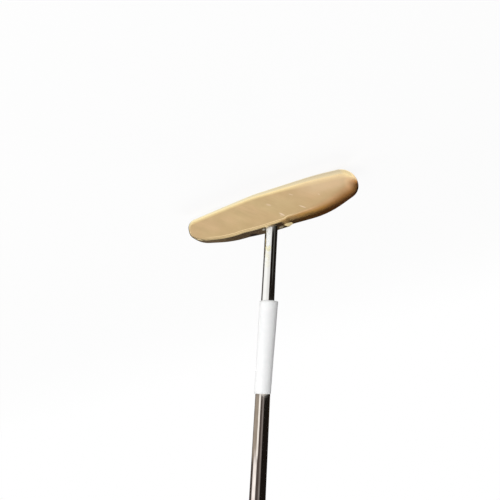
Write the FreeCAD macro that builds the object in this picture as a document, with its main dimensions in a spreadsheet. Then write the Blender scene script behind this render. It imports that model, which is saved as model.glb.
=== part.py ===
import FreeCAD, Part
import math
import os
import Sketcher

# Putter with a brass blade head and a centred, bare steel shaft.
# The head stands on its sole at Z = 0. X runs from toe (-) to heel (+), the striking face looks
# along -Y, and the shaft leans over the heel, square to Y, at the lie angle.
# The origin is on the flat of the sole, under the middle of the head's length.

doc = FreeCAD.newDocument("putter")
V = FreeCAD.Vector
SAME_POINT = Part.Precision.confusion()

# Driving dimensions, in millimetres and degrees
DIMENSIONS = [
    # the head as a whole, its length taken before the toe end is rounded
    ("head_length", 127.0),
    ("crown_height", 26.5),
    ("face_setback", 9.0),
    ("back_setback", 10.3),
    ("heel_depth", 6.95),
    ("back_apex_to_toe", 10.5),
    ("lie_angle", 71.2),
    # the long edges of the head
    ("heel_sole_rounding", 3.0),
    ("heel_crown_rounding", 1.9),
    ("toe_rounding", 8.3),
    ("back_rounding", 1.5),
    # the low pad that the shaft stands on: a long ramp on its heel side, a short step at the toe's
    ("shaft_offset", 5.73),
    ("pad_heel_reach", 6.77),
    ("pad_heel_rise", 0.35),
    ("pad_heel_ramp", 11.5),
    ("pad_heel_step", 0.9),
    ("pad_toe_reach", 12.13),
    ("pad_toe_rise", 0.6),
    ("pad_toe_ramp", 2.6),
    ("pad_toe_step", 1.05),
    # the bond between head and shaft
    ("bore_depth", 22.5),
    ("resin_film", 0.25),
    ("resin_setback", 2.6),
    # the shaft
    ("club_length", 889.0),
    ("tip_diameter", 9.02),
    ("butt_diameter", 15.2),
    ("shaft_wall", 0.5),
    ("tip_parallel", 28.5),
    ("taper_length", 481.0),
    ("plug_length", 12.0),
    # the grip
    ("grip_length", 263.0),
    ("tape_thickness", 0.3),
    ("tape_setback", 6.0),
    ("mouth_wall", 1.64),
    ("mouth_flat_wall", 0.84),
    ("mouth_swell", 0.2),
    ("waist_wall", 3.24),
    ("waist_flat_wall", 1.04),
    ("waist_swell", 0.6),
    ("top_wall", 5.24),
    ("top_flat_wall", 1.24),
    ("top_swell", 1.2),
    ("grip_corner_rounding", 1.6),
    ("cap_thickness", 3.0),
    ("cap_rounding", 1.0),
    ("vent_diameter", 3.5),
    # the price label, a paper sleeve that stands off the shaft by a slack
    ("label_foot", 52.5),
    ("label_length", 63.5),
    ("label_head_slack", 1.74),
    ("label_butt_slack", 0.5),
    ("label_paper", 0.2),
    ("label_head_shift", 0.8),
    # running and seating clearances
    ("seat_gap", 0.03),
]

# Places that follow from the dimensions. "Along" is measured on the shaft's axis, from the ground.
PLACES = [
    ("mid_depth", "=Sizes.face_setback + Sizes.back_setback"),
    ("back_fall", "=mid_depth - Sizes.heel_depth"),
    ("heel_from_apex", "=Sizes.head_length / 2 + Sizes.back_apex_to_toe"),
    ("back_arc_radius", "=(heel_from_apex ^ 2 + back_fall ^ 2) / 2 / back_fall"),
    ("pad_climb", "=Sizes.pad_toe_rise - Sizes.pad_heel_rise"),
    ("pad_top_length", "=Sizes.pad_heel_reach + Sizes.pad_toe_reach"),
    ("foot_rise", "=Sizes.pad_heel_rise + pad_climb * Sizes.pad_heel_reach / pad_top_length"),
    ("foot_height", "=Sizes.crown_height + foot_rise"),
    ("axis_ground_x", "=Sizes.shaft_offset - foot_height / tan(Sizes.lie_angle)"),
    ("foot_along", "=foot_height / sin(Sizes.lie_angle)"),
    ("bore_floor_along", "=foot_along - Sizes.bore_depth"),
    ("bore_radius", "=Sizes.tip_diameter / 2 + Sizes.resin_film"),
    ("tip_along", "=bore_floor_along + Sizes.resin_film"),
    ("taper_start_along", "=foot_along + Sizes.tip_parallel"),
    ("taper_end_along", "=taper_start_along + Sizes.taper_length"),
    ("butt_along", "=Sizes.club_length - Sizes.cap_thickness"),
    ("grip_mouth_along", "=butt_along - Sizes.grip_length"),
    ("grip_bore_radius", "=Sizes.butt_diameter / 2 + Sizes.tape_thickness + 2 * Sizes.seat_gap"),
    ("mouth_radius", "=grip_bore_radius + Sizes.mouth_wall"),
    ("mouth_flat_setback", "=grip_bore_radius + Sizes.mouth_flat_wall"),
    ("waist_radius", "=grip_bore_radius + Sizes.waist_wall"),
    ("waist_flat_setback", "=grip_bore_radius + Sizes.waist_flat_wall"),
    ("top_radius", "=grip_bore_radius + Sizes.top_wall"),
    ("top_flat_setback", "=grip_bore_radius + Sizes.top_flat_wall"),
    ("label_foot_along", "=foot_along + Sizes.label_foot"),
    ("taper_rate", "=(Sizes.butt_diameter - Sizes.tip_diameter) / 2 / Sizes.taper_length"),
    ("label_foot_past_taper", "=Sizes.label_foot - Sizes.tip_parallel"),
    ("label_butt_past_taper", "=label_foot_past_taper + Sizes.label_length"),
    ("shaft_radius_at_foot", "=Sizes.tip_diameter / 2 + taper_rate * label_foot_past_taper"),
    ("shaft_radius_at_butt", "=Sizes.tip_diameter / 2 + taper_rate * label_butt_past_taper"),
    ("label_foot_radius", "=shaft_radius_at_foot + Sizes.label_head_slack"),
    ("label_butt_radius", "=shaft_radius_at_butt + Sizes.label_butt_slack"),
]


def write_sheet(name, rows):
    """A sheet with one row per value: its name in column A, its aliased cell in column B."""
    sheet = doc.addObject("Spreadsheet::Sheet", name)
    for number, (alias, content) in enumerate(rows, start=1):
        sheet.set("A%d" % number, alias)
        sheet.set("B%d" % number, str(content))
        sheet.setAlias("B%d" % number, alias)
    doc.recompute()
    return sheet


sizes = write_sheet("Sizes", DIMENSIONS)
places = write_sheet("Places", PLACES)


def size(alias):
    """A driving dimension's number."""
    return float(sizes.get(alias))


def place(alias):
    """A worked-out place's number."""
    return float(places.get(alias))


def bind(item, expressions):
    """Ties properties of a document object to the sheets."""
    for name, expression in expressions.items():
        item.setExpression(name, expression)


def shaft_placement(along=0.0):
    """Local Z on the shaft's axis, local X square to it, towards the heel and down."""
    lean = math.radians(90 - size("lie_angle"))
    base = V(place("axis_ground_x") + along * math.sin(lean), 0, along * math.cos(lean))
    return FreeCAD.Placement(base, FreeCAD.Rotation(V(0, 1, 0), math.degrees(lean)))


# Outline of the head, seen square to the face

# Corners of the outline as shares: x of half the head's length, z of the crown's height, and the
# radius that rounds the corner, of the head's length.
HEEL_CORNER_SHARES = [
    (0.168, 0.0, 0.60),     # where the sole starts to rise towards the heel
    (1.0, 0.165, 0.051),    # heel, at the sole
    (1.0, 0.580, 0.048),    # heel tip, above
    (0.899, 0.816, 0.125),  # heel shoulder
    (0.556, 0.991, 1.115),  # where the crown starts to fall to the heel
]
CROWN_TO_TOE_SHARES = (-0.570, 1.045, 0.545)    # where the crown starts to fall to the toe
SOLE_TO_TOE_SHARES = (-0.601, 0.0, 1.463)       # where the sole starts to rise towards the toe
# The toe end's own corners, the same but for the radius: of the toe's rolled edge, which it must pass
TOE_CROWN_CORNER_SHARES = (-0.993, 0.765, 1.10)
TOE_SOLE_CORNER_SHARES = (-0.970, 0.095, 1.62)
TOE_STEP_ROUNDING_SHARE = 1.0    # of the toe ramp's length
HEEL_STEP_ROUNDING_SHARE = 4.0   # of the heel ramp's length


def outline_corners():
    """The outline's corners as (x, z, radius), once round from the sole by way of the heel."""
    half_length = size("head_length") / 2
    crown = size("crown_height")

    def real(shares, rounded_by="head_length"):
        x_share, z_share, radius_share = shares
        return x_share * half_length, z_share * crown, size(rounded_by) * radius_share

    heel_end = size("shaft_offset") + size("pad_heel_reach")
    heel_height = crown + size("pad_heel_rise")
    heel_ramp = size("pad_heel_ramp")
    heel_rounding = heel_ramp * HEEL_STEP_ROUNDING_SHARE
    toe_end = size("shaft_offset") - size("pad_toe_reach")
    toe_height = crown + size("pad_toe_rise")
    toe_ramp = size("pad_toe_ramp")
    toe_rounding = toe_ramp * TOE_STEP_ROUNDING_SHARE
    pad = [
        (heel_end + heel_ramp, heel_height - size("pad_heel_step"), heel_rounding),
        (heel_end, heel_height, heel_rounding),
        (toe_end, toe_height, toe_rounding),
        (toe_end - toe_ramp, toe_height - size("pad_toe_step"), toe_rounding),
    ]
    toe = [
        real(CROWN_TO_TOE_SHARES),
        real(TOE_CROWN_CORNER_SHARES, rounded_by="toe_rounding"),
        real(TOE_SOLE_CORNER_SHARES, rounded_by="toe_rounding"),
        real(SOLE_TO_TOE_SHARES),
    ]
    return [real(row) for row in HEEL_CORNER_SHARES] + pad + toe


def rounded_outline(corners, y):
    """A closed wire at depth y through the corners, each rounded by an arc that fits its sides."""
    points = [V(x, y, z) for x, z, _ in corners]
    count = len(points)
    half_turns = []
    reaches = []
    for number, (_, _, radius) in enumerate(corners):
        before = points[number - 1] - points[number]
        after = points[(number + 1) % count] - points[number]
        half_turns.append((math.pi - before.getAngle(after)) / 2)
        reaches.append(radius * math.tan(half_turns[number]))

    def fitted_reach(number):
        """How far the arc reaches along its sides, cut back where two arcs would share a side."""
        fit = 1.0
        for other in (number - 1, (number + 1) % count):
            side = (points[number] - points[other]).Length
            fit = min(fit, side / (reaches[number] + reaches[other]))
        return reaches[number] * fit

    arcs = []
    for number, corner in enumerate(points):
        reach = fitted_reach(number)
        radius = reach / math.tan(half_turns[number])
        to_middle = radius / math.cos(half_turns[number]) - radius
        before = (points[number - 1] - corner).normalize()
        after = (points[(number + 1) % count] - corner).normalize()
        inward = (before + after).normalize()
        arcs.append((corner + before * reach, corner + inward * to_middle, corner + after * reach))
    edges = []
    for number, (start, middle, end) in enumerate(arcs):
        edges.append(Part.Arc(start, middle, end).toShape())
        next_start = arcs[(number + 1) % count][0]
        if not end.isEqual(next_start, SAME_POINT):
            edges.append(Part.LineSegment(end, next_start).toShape())
    return Part.Wire(edges)


outline = doc.addObject("Part::Feature", "face_outline")
outline.Shape = rounded_outline(outline_corners(), -size("face_setback"))

slab = doc.addObject("Part::Extrusion", "outline_slab")
slab.Base = outline
slab.DirMode = "Custom"
slab.Dir = V(0, 1, 0)
slab.Solid = True
bind(slab, {"LengthFwd": "Sizes.face_setback + Sizes.back_setback * 2"})

back_arc = doc.addObject("Part::Cylinder", "back_arc")
bind(back_arc, {
    "Radius": "Places.back_arc_radius",
    "Height": "Sizes.crown_height * 3",
    ".Placement.Base.x": "-Sizes.back_apex_to_toe",
    ".Placement.Base.y": "Sizes.back_setback - Places.back_arc_radius",
    ".Placement.Base.z": "-Sizes.crown_height",
})

blank = doc.addObject("Part::Common", "head_blank")
blank.Base = slab
blank.Tool = back_arc
doc.recompute()

# The head's long edges are rolled: tightly at the heel, broadly at the toe

# How much of the head's depth at the toe its two roundings may take, front and back
TOE_ROLL_LIMIT_SHARE = 0.70
BACK_ROLL_LIMIT_SHARE = 0.24
# Where the radii start and stop growing, as shares of half the head's length
SOLE_GROWTH_SHARES = (0.55, -0.75)
CROWN_GROWTH_SHARES = (-0.17, -0.85)
# Between these shares of the crown's height an edge changes from the sole's radii to the crown's
SOLE_TO_CROWN_SHARES = (0.2, 0.68)


def depth_at(x):
    """Depth of the head, from its face to its back arc, at one place along it."""
    across = x + size("back_apex_to_toe")
    radius = place("back_arc_radius")
    drop = radius - math.sqrt(radius ** 2 - across ** 2)
    return size("face_setback") + size("back_setback") - drop


def blend(value, start, end):
    """0 before start, 1 past end, evenly between them."""
    return min(max((value - start) / (end - start), 0.0), 1.0)


def front_radius(point):
    """Radius of the rolled edge round the face at one point of it."""
    half_length = size("head_length") / 2
    toe = min(size("toe_rounding"), depth_at(-half_length) * TOE_ROLL_LIMIT_SHARE)
    sole_start, sole_end = (share * half_length for share in SOLE_GROWTH_SHARES)
    crown_start, crown_end = (share * half_length for share in CROWN_GROWTH_SHARES)
    low, high = (share * size("crown_height") for share in SOLE_TO_CROWN_SHARES)
    sole = size("heel_sole_rounding")
    sole += (toe - sole) * blend(point.x, sole_start, sole_end)
    crown = size("heel_crown_rounding")
    crown += (toe - crown) * blend(point.x, crown_start, crown_end)
    return sole + (crown - sole) * blend(point.z, low, high)


def back_radius():
    """Radius of the edge round the back, kept clear of the toe's roll."""
    return min(size("back_rounding"), depth_at(-size("head_length") / 2) * BACK_ROLL_LIMIT_SHARE)


def rolled_edges(shape):
    """(number, first radius, last radius) of each edge round the face and round the back."""
    rolled = []
    for number, edge in enumerate(shape.Edges, start=1):
        start = edge.valueAt(edge.FirstParameter)
        end = edge.valueAt(edge.LastParameter)
        runs_front_to_back = math.hypot(end.x - start.x, end.z - start.z) < SAME_POINT
        if runs_front_to_back:
            continue
        if abs(start.y + size("face_setback")) < SAME_POINT:
            rolled.append((number, front_radius(start), front_radius(end)))
        else:
            rolled.append((number, back_radius(), back_radius()))
    return rolled


rolled = doc.addObject("Part::Fillet", "rolled_blank")
rolled.Base = blank
rolled.Edges = rolled_edges(blank.Shape)

# The shaft's bore, square to the shaft and not to the crown

bore = doc.addObject("Part::Cylinder", "shaft_bore")
bind(bore, {"Radius": "Places.bore_radius", "Height": "Sizes.bore_depth * 2"})
bore.Placement = shaft_placement(place("bore_floor_along"))

head = doc.addObject("Part::Cut", "head")
head.Base = rolled
head.Tool = bore


# Pieces on the shaft's axis


def origin_plane(body, role):
    """One of a body's own origin planes."""
    return next(feature for feature in body.Origin.OriginFeatures if feature.Role == role)


def new_body(label, placement):
    body = doc.addObject("PartDesign::Body", label)
    body.Placement = placement
    return body


def new_sketch(body, name, role):
    sketch = body.newObject("Sketcher::SketchObject", name)
    sketch.AttachmentSupport = [(origin_plane(body, role), "")]
    sketch.MapMode = "FlatFace"
    return sketch


def sheet_value(expression):
    """The number that an expression over the two sheets gives."""
    return float(sizes.evalExpression(expression))


def pin_point(sketch, line, end, across, up):
    """Dimensions one end of a line from the sketch's origin, by two expressions."""
    for kind, expression in (("DistanceX", across), ("DistanceY", up)):
        value = sheet_value(expression)
        index = sketch.addConstraint(Sketcher.Constraint(kind, -1, 1, line, end, value))
        sketch.setExpression("Constraints[%d]" % index, expression)


def turned(label, section, placement):
    """A body turned about the shaft's axis from half its section.

    section lists the corners as (radius, height) expressions, once round.
    """
    body = new_body(label, placement)
    sketch = new_sketch(body, label + "_section", "XZ_Plane")
    points = [V(sheet_value(radius), sheet_value(height), 0) for radius, height in section]
    for number, point in enumerate(points):
        following = points[(number + 1) % len(points)]
        sketch.addGeometry(Part.LineSegment(point, following), False)
    for number in range(len(points)):
        sketch.addConstraint(
            Sketcher.Constraint("Coincident", number, 2, (number + 1) % len(points), 1))
    for number, (radius, height) in enumerate(section):
        pin_point(sketch, number, 1, radius, height)
    turn = body.newObject("PartDesign::Revolution", label + "_turned")
    turn.Profile = sketch
    turn.ReferenceAxis = (sketch, ["V_Axis"])
    turn.Angle = 360
    return body


# Bare steel tube: a parallel tip, one long taper and a parallel butt
turned("shaft", [
    ("Sizes.tip_diameter / 2", "Places.tip_along"),
    ("Sizes.tip_diameter / 2", "Places.taper_start_along"),
    ("Sizes.butt_diameter / 2", "Places.taper_end_along"),
    ("Sizes.butt_diameter / 2", "Places.butt_along"),
    ("Sizes.butt_diameter / 2 - Sizes.shaft_wall", "Places.butt_along"),
    ("Sizes.butt_diameter / 2 - Sizes.shaft_wall", "Places.taper_end_along"),
    ("Sizes.tip_diameter / 2 - Sizes.shaft_wall", "Places.taper_start_along"),
    ("Sizes.tip_diameter / 2 - Sizes.shaft_wall", "Places.tip_along"),
], shaft_placement())

# Hardened resin that fills the bore round the tip
turned("shaft_resin", [
    ("Sizes.tip_diameter / 2 + Sizes.seat_gap", "Places.bore_floor_along"),
    ("Places.bore_radius - Sizes.seat_gap", "Places.bore_floor_along"),
    ("Places.bore_radius - Sizes.seat_gap", "Places.foot_along - Sizes.resin_setback"),
    ("Sizes.tip_diameter / 2 + Sizes.seat_gap", "Places.foot_along - Sizes.resin_setback"),
], shaft_placement())

# Plug that keeps the resin out of the tube
PLUG_CORNER_SHARE = 0.12   # of the plug's length
plug_radius = "Sizes.tip_diameter / 2 - Sizes.shaft_wall - Sizes.seat_gap"
plug_taper = "%s * Sizes.plug_length" % PLUG_CORNER_SHARE
turned("tip_plug", [
    ("0", "Places.tip_along"),
    (plug_radius, "Places.tip_along"),
    (plug_radius, "Places.tip_along + Sizes.plug_length - " + plug_taper),
    (plug_radius + " - " + plug_taper, "Places.tip_along + Sizes.plug_length"),
    ("0", "Places.tip_along + Sizes.plug_length"),
], shaft_placement())

# Double-sided tape between shaft and grip
turned("grip_tape", [
    ("Sizes.butt_diameter / 2 + Sizes.seat_gap", "Places.grip_mouth_along + Sizes.tape_setback"),
    ("Places.grip_bore_radius - Sizes.seat_gap", "Places.grip_mouth_along + Sizes.tape_setback"),
    ("Places.grip_bore_radius - Sizes.seat_gap", "Places.butt_along"),
    ("Sizes.butt_diameter / 2 + Sizes.seat_gap", "Places.butt_along"),
], shaft_placement())

# Grip: a rubber sleeve with a flat for the thumbs on its toe side and a swell behind it

WAIST_SHARE = 0.45   # of the grip's length, from its mouth


def d_section(body, name, along, station):
    """A closed D in a plane square to the shaft: a round back, and a flat with rounded corners.

    The flat looks towards the toe, which is -X here, and the round back stands swell behind the
    shaft's axis.
    """
    sketch = new_sketch(body, name, "XY_Plane")
    sketch.setExpression(".AttachmentOffset.Base.z", along)
    radius = place(station + "_radius")
    swell = size(station + "_swell")
    setback = place(station + "_flat_setback")
    rounding = size("grip_corner_rounding")
    inset = setback + swell - rounding
    half_flat = math.sqrt((radius - rounding) ** 2 - inset ** 2)
    spread = math.atan2(half_flat, -inset)
    upper = V(rounding - setback, half_flat, 0)
    lower = V(rounding - setback, -half_flat, 0)
    axis = V(0, 0, 1)
    half_turn = math.pi

    def arc(centre, arc_radius, start, end):
        return sketch.addGeometry(
            Part.ArcOfCircle(Part.Circle(centre, axis, arc_radius), start, end), False)

    back = arc(V(swell, 0, 0), radius, -spread, spread)
    upper_corner = arc(upper, rounding, spread, half_turn)
    flat = sketch.addGeometry(
        Part.LineSegment(V(-setback, half_flat, 0), V(-setback, -half_flat, 0)), False)
    lower_corner = arc(lower, rounding, half_turn, 2 * half_turn - spread)
    joints = [
        (back, 2, upper_corner, 1),
        (upper_corner, 2, flat, 1),
        (flat, 2, lower_corner, 1),
        (lower_corner, 2, back, 1),
    ]
    for joint in joints:
        sketch.addConstraint(Sketcher.Constraint("Tangent", *joint))
    sketch.addConstraint(Sketcher.Constraint("Vertical", flat))
    sketch.addConstraint(Sketcher.Constraint("PointOnObject", back, 3, -1))
    sketch.addConstraint(Sketcher.Constraint("Equal", upper_corner, lower_corner))
    bound = [
        (Sketcher.Constraint("Radius", back, radius), "Places.%s_radius" % station),
        (Sketcher.Constraint("Radius", upper_corner, rounding), "Sizes.grip_corner_rounding"),
        (Sketcher.Constraint("DistanceX", -1, 1, back, 3, swell), "Sizes.%s_swell" % station),
        (Sketcher.Constraint("DistanceX", flat, 1, -1, 1, setback), "Places.%s_flat_setback" % station),
    ]
    for constraint, expression in bound:
        index = sketch.addConstraint(constraint)
        sketch.setExpression("Constraints[%d]" % index, expression)
    return sketch


def drill(body, name, radius, height, along):
    """A round hole on the shaft's axis."""
    hole = body.newObject("PartDesign::SubtractiveCylinder", name)
    hole.AttachmentSupport = [(origin_plane(body, "XY_Plane"), "")]
    hole.MapMode = "FlatFace"
    bind(hole, {"Radius": radius, "Height": height, ".AttachmentOffset.Base.z": along})


grip = new_body("grip", shaft_placement())
mouth = d_section(grip, "grip_mouth_section", "Places.grip_mouth_along", "mouth")
waist = d_section(
    grip,
    "grip_waist_section",
    "Places.grip_mouth_along + %s * Sizes.grip_length" % WAIST_SHARE,
    "waist",
)
top = d_section(grip, "grip_top_section", "Places.butt_along", "top")
sleeve = grip.newObject("PartDesign::AdditiveLoft", "grip_sleeve")
sleeve.Profile = mouth
sleeve.Sections = [waist, top]
drill(grip, "grip_bore", "Places.grip_bore_radius", "Sizes.grip_length", "Places.grip_mouth_along")

# Hard cap that closes the grip, with its vent
cap = new_body("grip_cap", shaft_placement())
cap_section = d_section(cap, "cap_section", "Places.butt_along", "top")
disc = cap.newObject("PartDesign::Pad", "cap_disc")
disc.Profile = cap_section
disc.setExpression("Length", "Sizes.cap_thickness")
doc.recompute()
rim = [
    "Edge%d" % number
    for number, edge in enumerate(disc.Shape.Edges, start=1)
    if all(abs(vertex.Z - size("club_length")) < SAME_POINT for vertex in edge.Vertexes)
]
softened = cap.newObject("PartDesign::Fillet", "cap_rim")
softened.Base = (disc, rim)
softened.setExpression("Radius", "Sizes.cap_rounding")
doc.recompute()
drill(cap, "vent", "Sizes.vent_diameter / 2", "Sizes.cap_thickness", "Places.butt_along")

# Price label: a paper sleeve, looser at the head's end, that leans on the shaft at the other

label_outside = doc.addObject("Part::Cone", "label_outside")
bind(label_outside, {
    "Radius1": "Places.label_foot_radius + Sizes.label_paper",
    "Radius2": "Places.label_butt_radius + Sizes.label_paper",
    "Height": "Sizes.label_length",
})
label_inside = doc.addObject("Part::Cone", "label_inside")
bind(label_inside, {
    "Radius1": "Places.label_foot_radius",
    "Radius2": "Places.label_butt_radius",
    "Height": "Sizes.label_length",
})
label = doc.addObject("Part::Cut", "price_label")
label.Base = label_outside
label.Tool = label_inside
head_shift = -size("label_head_shift")
butt_shift = size("label_butt_slack") - size("seat_gap")
lean = math.degrees(math.atan2(butt_shift - head_shift, size("label_length")))
in_shaft_frame = FreeCAD.Placement(V(head_shift, 0, 0), FreeCAD.Rotation(V(0, 1, 0), lean))
label.Placement = shaft_placement(place("label_foot_along")).multiply(in_shaft_frame)

# Checks, then one file per piece

PIECES = [
    "head",
    "shaft",
    "shaft_resin",
    "tip_plug",
    "grip_tape",
    "grip",
    "grip_cap",
    "price_label",
]

doc.recompute()
for item in doc.Objects:
    if "Invalid" in item.State or "Error" in item.State:
        raise RuntimeError("%s did not build: %s" % (item.Name, item.State))
pieces = [doc.getObject(name) for name in PIECES]
for piece in pieces:
    if piece.Shape.isNull() or not piece.Shape.isValid() or len(piece.Shape.Solids) != 1:
        raise RuntimeError("%s is not one sound solid" % piece.Label)

os.makedirs("parts", exist_ok=True)
for piece in pieces:
    piece.Shape.exportStep(os.path.join("parts", piece.Label + ".step"))
    box = piece.Shape.BoundBox
    print("%-12s %9.1f mm3  X %.1f..%.1f  Y %.1f..%.1f  Z %.1f..%.1f" % (
        piece.Label, piece.Shape.Volume, box.XMin, box.XMax, box.YMin, box.YMax, box.ZMin, box.ZMax))
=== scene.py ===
# %% [markdown]
# # A centre-shafted brass putter
# This file dresses a finished CAD model for its picture, one small step at a time. The real
# object is a putter standing on its sole: a polished brass head, a chromed steel shaft that rises
# from the middle of it, a white paper label wrapped round the shaft, and a flat-fronted rubber
# grip with its cap at the top.
#
# The CAD model is loaded first and stays as it is.

# %% Load the model
import math
import bpy
from mathutils import Matrix, Vector


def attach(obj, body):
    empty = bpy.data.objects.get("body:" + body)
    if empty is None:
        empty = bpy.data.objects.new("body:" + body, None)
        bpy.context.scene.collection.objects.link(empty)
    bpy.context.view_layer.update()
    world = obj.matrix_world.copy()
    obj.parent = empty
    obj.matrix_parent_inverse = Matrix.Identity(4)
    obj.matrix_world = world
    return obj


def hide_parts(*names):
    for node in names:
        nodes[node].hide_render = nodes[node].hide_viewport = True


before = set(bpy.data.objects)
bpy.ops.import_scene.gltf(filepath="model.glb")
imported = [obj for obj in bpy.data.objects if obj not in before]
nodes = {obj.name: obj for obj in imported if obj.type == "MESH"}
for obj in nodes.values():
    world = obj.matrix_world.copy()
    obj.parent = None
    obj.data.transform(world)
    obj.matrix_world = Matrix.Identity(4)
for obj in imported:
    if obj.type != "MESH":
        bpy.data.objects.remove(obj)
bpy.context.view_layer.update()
print("solids loaded:", sorted(nodes))

# %% [markdown]
# ## Where things are on the putter
# Most of the finishes follow the shaft, which leans over, so its foot, its direction and two
# directions across it are written down once. The foot is where its axis meets the top of the
# head. All lengths are in metres, as Blender wants them, and MM makes them readable.

# %% The shaft's own directions
MM = 0.001
LEAN = math.radians(71.2)
SHAFT_FOOT = Vector((5.73, 0.0, 26.94)) * MM
SHAFT_UP = Vector((math.cos(LEAN), 0.0, math.sin(LEAN)))
TO_PLAYER_SIDE = Vector((math.sin(LEAN), 0.0, -math.cos(LEAN)))
TO_FRONT = Vector((0.0, -1.0, 0.0))


def on_shaft(height, angle, radius):
    """The point at a height up the shaft, at an angle in degrees from front to heel side."""
    turn = math.radians(angle)
    out = TO_FRONT * math.cos(turn) + TO_PLAYER_SIDE * math.sin(turn)
    return SHAFT_FOOT + SHAFT_UP * height + out * radius


print("a point on the shaft, in mm:", [round(v / MM, 1) for v in on_shaft(30 * MM, 0, 4.8 * MM)])

# %% [markdown]
# ## The camera
# The photograph looks at the head from the front and a little above, with the putter turned
# upside down in the frame. Here the putter stands as it does in use, so it is the camera that is
# rolled over. It could be aimed at an empty by a constraint, but a roll like this one is easier to
# give as three axes. They and the camera's place come from matching the outline of the head and
# the taper of the shaft.

# %% Place the camera
scene = bpy.context.scene
camera = bpy.data.objects.new("picture_camera", bpy.data.cameras.new("picture_camera"))
scene.collection.objects.link(camera)
CAMERA_PLACE = Vector((-50.65, -443.71, 160.3)) * MM
CAMERA_RIGHT = Vector((-0.937736, 0.231605, 0.258865))
CAMERA_UP = Vector((-0.307247, -0.205446, -0.929188))
CAMERA_BACK = Vector((-0.162022, -0.950868, 0.263814))
turned = Matrix((CAMERA_RIGHT, CAMERA_UP, CAMERA_BACK)).transposed().to_4x4()
camera.matrix_world = Matrix.Translation(CAMERA_PLACE) @ turned
camera.data.sensor_width = 36.0
camera.data.lens = 46.8
camera.data.clip_start = 0.01
camera.data.clip_end = 100.0
scene.camera = camera
scene.view_settings.view_transform = "Standard"
print("camera to head, in mm:", round((CAMERA_PLACE - SHAFT_FOOT).length / MM))

# %% [markdown]
# ## Small helpers for node trees
# A material is a set of small boxes joined by wires. Written out in full this takes many lines,
# so a few helpers keep it short. The first one puts a box in a tree and fills its sockets. All
# the others are built on it.

# %% Put a node in a tree
def fill(tree, node, sockets):
    """Fills sockets. A value that is itself a socket is wired in, any other is set on it."""
    for name, value in sockets.items():
        if isinstance(value, bpy.types.NodeSocket):
            tree.links.new(value, node.inputs[name])
        else:
            node.inputs[name].default_value = value
    return node


def put(tree, kind, sockets=None, **settings):
    """Adds a node with its settings, and fills its sockets by name or by number."""
    node = tree.nodes.new(kind)
    for name, value in settings.items():
        setattr(node, name, value)
    return fill(tree, node, sockets or {})


print("first helpers ready")

# %% [markdown]
# Masks are made with plain sums. A mask is 1 where an effect is and 0 where it isn't, so two masks
# multiplied give the place that they share, and the larger of two gives both places.

# %% Sums
def calc(tree, operation, first, *others):
    """Math nodes in a row, one for each further value, and the last result."""
    if not others:
        return put(tree, "ShaderNodeMath", {0: first}, operation=operation).outputs[0]
    for other in others:
        first = put(tree, "ShaderNodeMath", {0: first, 1: other}, operation=operation).outputs[0]
    return first


def times(tree, *values):
    """The values multiplied: the place that masks share, or a weaker mask."""
    return calc(tree, "MULTIPLY", *values)


def plus(tree, *values):
    """The values added."""
    return calc(tree, "ADD", *values)


def largest(tree, *values):
    """The largest of the values: all the places of several masks."""
    return calc(tree, "MAXIMUM", *values)


def rest(tree, value):
    """What is left of 1: the place outside a mask."""
    return calc(tree, "SUBTRACT", 1.0, value)


print("sums ready")

# %% [markdown]
# Places and directions are three numbers at once. They have a node of their own for sums, and one
# that takes them apart.

# %% Places and directions
def vector_calc(tree, operation, *values, result="Vector"):
    """A Vector Math node, and its result."""
    node = put(tree, "ShaderNodeVectorMath", dict(enumerate(values)), operation=operation)
    return node.outputs[result]


def split(tree, vector):
    """The X, Y and Z of a vector, by name."""
    return put(tree, "ShaderNodeSeparateXYZ", {0: vector}).outputs


print("vectors ready")

# %% [markdown]
# Two colours are blended by a mask. A fade makes such a mask from any measure. It could be a
# colour ramp, but a Map Range node is given its two ends in the measure's own unit.

# %% Blends and fades
def with_alpha(colour):
    """A colour as Blender wants it, with a fourth number for its opacity."""
    return (*colour, 1.0) if isinstance(colour, tuple) and len(colour) == 3 else colour


def blend(tree, factor, first, second):
    """A Mix node for colours. Sockets 0, 6 and 7 are its factor and its two colours."""
    sockets = {0: factor, 6: with_alpha(first), 7: with_alpha(second)}
    return put(tree, "ShaderNodeMix", sockets, data_type="RGBA").outputs[2]


def fade(tree, value, start, end, low=0.0, high=1.0):
    """A smooth change from low to high while the value goes from start to end."""
    sockets = {"Value": value, "From Min": start, "From Max": end, "To Min": low, "To Max": high}
    return put(tree, "ShaderNodeMapRange", sockets, interpolation_type="SMOOTHSTEP").outputs[0]


print("blends ready")

# %% [markdown]
# ## Shared effects
# Metal, paper and rubber all need the same few things: soft patches that differ a little from each
# other, fine lines left by a cloth or a belt, a single mark at one place, and the way to say "so
# far along the shaft and so far round it". Each is a node group, built once, and every finish sets
# its own values on it.

# %% Start and use a group
NUMBER, ARROW = "NodeSocketFloat", "NodeSocketVector"


def start_group(name, inputs, outputs):
    """A new shader node group with named sockets, and its two end nodes."""
    tree = bpy.data.node_groups.new(name, "ShaderNodeTree")
    for title, kind, value in inputs:
        socket = tree.interface.new_socket(title, in_out="INPUT", socket_type=kind)
        if value is not None:
            socket.default_value = value
    for title, kind in outputs:
        tree.interface.new_socket(title, in_out="OUTPUT", socket_type=kind)
    return tree, put(tree, "NodeGroupInput").outputs, put(tree, "NodeGroupOutput").inputs


def use(tree, group, **sockets):
    """Puts a group in a tree, and gives its outputs. An underscore in a name stands for a space."""
    node = put(tree, "ShaderNodeGroup", node_tree=group)
    fill(tree, node, {name.replace("_", " "): value for name, value in sockets.items()})
    return node.outputs


print("groups can be started")

# %% [markdown]
# Soft patches are noise with its middle values spread out. Size is about the width of one patch.

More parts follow.
